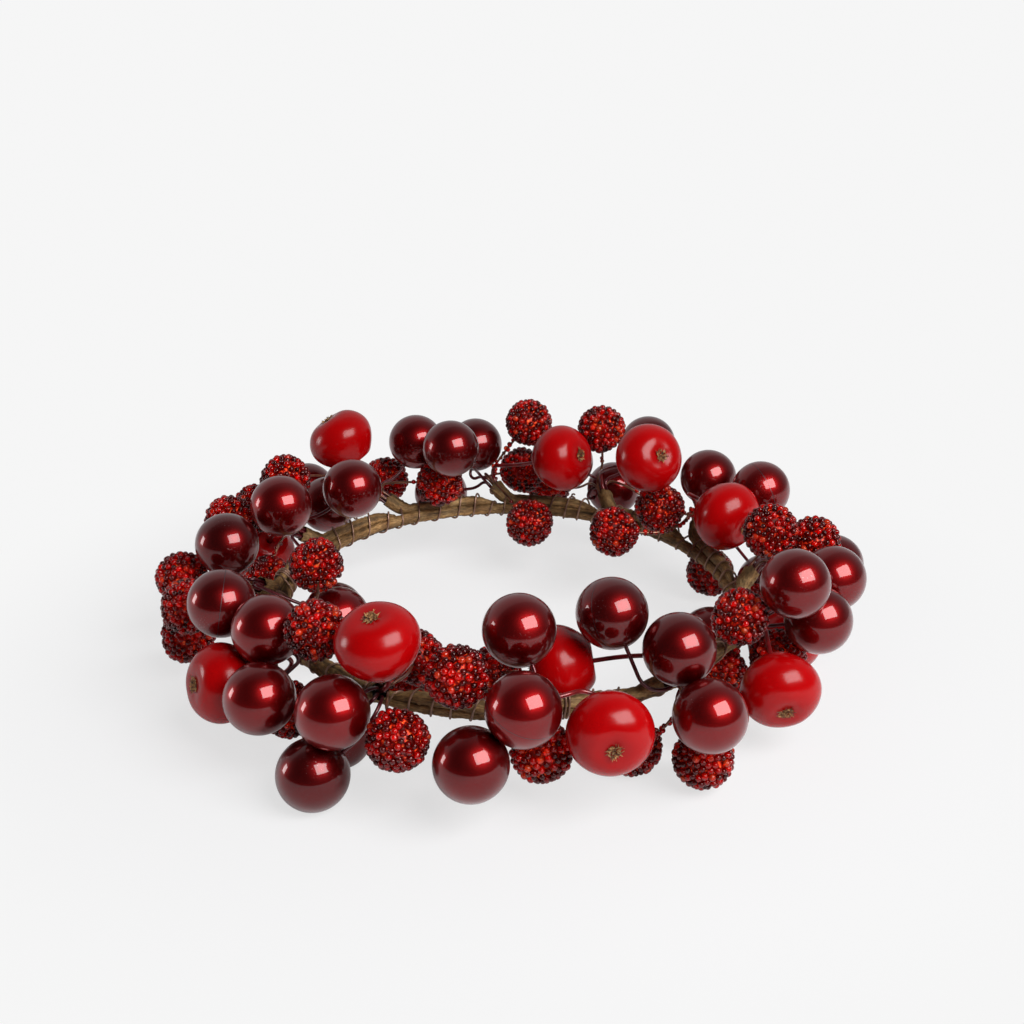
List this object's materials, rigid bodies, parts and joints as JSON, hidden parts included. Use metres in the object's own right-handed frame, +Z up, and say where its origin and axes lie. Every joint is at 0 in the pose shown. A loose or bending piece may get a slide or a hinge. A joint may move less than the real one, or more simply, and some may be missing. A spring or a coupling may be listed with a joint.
{
  "type": "candle ring",
  "caption": "Round berry candle ring: a taped wire hoop with bound picks of glossy balls, small apples and beaded berries, open in the middle for a pillar candle.",
  "frame": {"origin": "centre of the candle opening, on the table top that the lowest berries rest on", "axes": "+Z up along the candle, +X to the right and +Y away in the picture"},
  "size_m": [0.1876, 0.175, 0.0531],
  "materials": {
    "floral_tape": "olive-brown crinkled floral paper tape",
    "pearl_lacquer": "deep burgundy pearlescent lacquer, high gloss",
    "red_beads": "translucent red beads, glossy",
    "apple_skin": "satin red, waxy",
    "hoop_steel": "plain drawn wire",
    "brown_wire": "brown enamelled wire",
    "burgundy_stem": "dark red coated wire, glossy",
    "brown_stem": "copper-brown coated wire",
    "red_stem": "red coated wire",
    "dried_calyx": "dry brown fibres"
  },
  "bodies": {
    "root": {"apple_calyxes": "dried_calyx", "apple_stems": "brown_stem", "beaded_stems": "red_stem", "binding_wire": "brown_wire", "hoop_tape": "floral_tape", "hoop_wire": "hoop_steel", "pearl_stems": "burgundy_stem", "pick_01_apple": "apple_skin", "pick_01_beaded": "red_beads", "pick_01_pearls": "pearl_lacquer", "pick_01_tape": "floral_tape", "pick_02_apple": "apple_skin", "pick_02_beaded": "red_beads", "pick_02_pearls": "pearl_lacquer", "pick_02_tape": "floral_tape", "pick_03_apple": "apple_skin", "pick_03_beaded": "red_beads", "pick_03_pearls": "pearl_lacquer", "pick_03_tape": "floral_tape", "pick_04_apple": "apple_skin", "pick_04_beaded": "red_beads", "pick_04_pearls": "pearl_lacquer", "pick_04_tape": "floral_tape", "pick_05_apple": "apple_skin", "pick_05_beaded": "red_beads", "pick_05_pearls": "pearl_lacquer", "pick_05_tape": "floral_tape", "pick_06_apple": "apple_skin", "pick_06_beaded": "red_beads", "pick_06_pearls": "pearl_lacquer", "pick_06_tape": "floral_tape", "pick_07_beaded": "red_beads", "pick_07_pearls": "pearl_lacquer", "pick_07_tape": "floral_tape", "pick_08_apple": "apple_skin", "pick_08_beaded": "red_beads", "pick_08_pearls": "pearl_lacquer", "pick_08_tape": "floral_tape", "pick_09_apple": "apple_skin", "pick_09_beaded": "red_beads", "pick_09_pearls": "pearl_lacquer", "pick_09_tape": "floral_tape", "pick_10_apple": "apple_skin", "pick_10_beaded": "red_beads", "pick_10_pearls": "pearl_lacquer", "pick_10_tape": "floral_tape", "pick_11_apple": "apple_skin", "pick_11_beaded": "red_beads", "pick_11_pearls": "pearl_lacquer", "pick_11_tape": "floral_tape", "pick_12_apple": "apple_skin", "pick_12_beaded": "red_beads", "pick_12_pearls": "pearl_lacquer", "pick_12_tape": "floral_tape"}
  },
  "joints": []
}
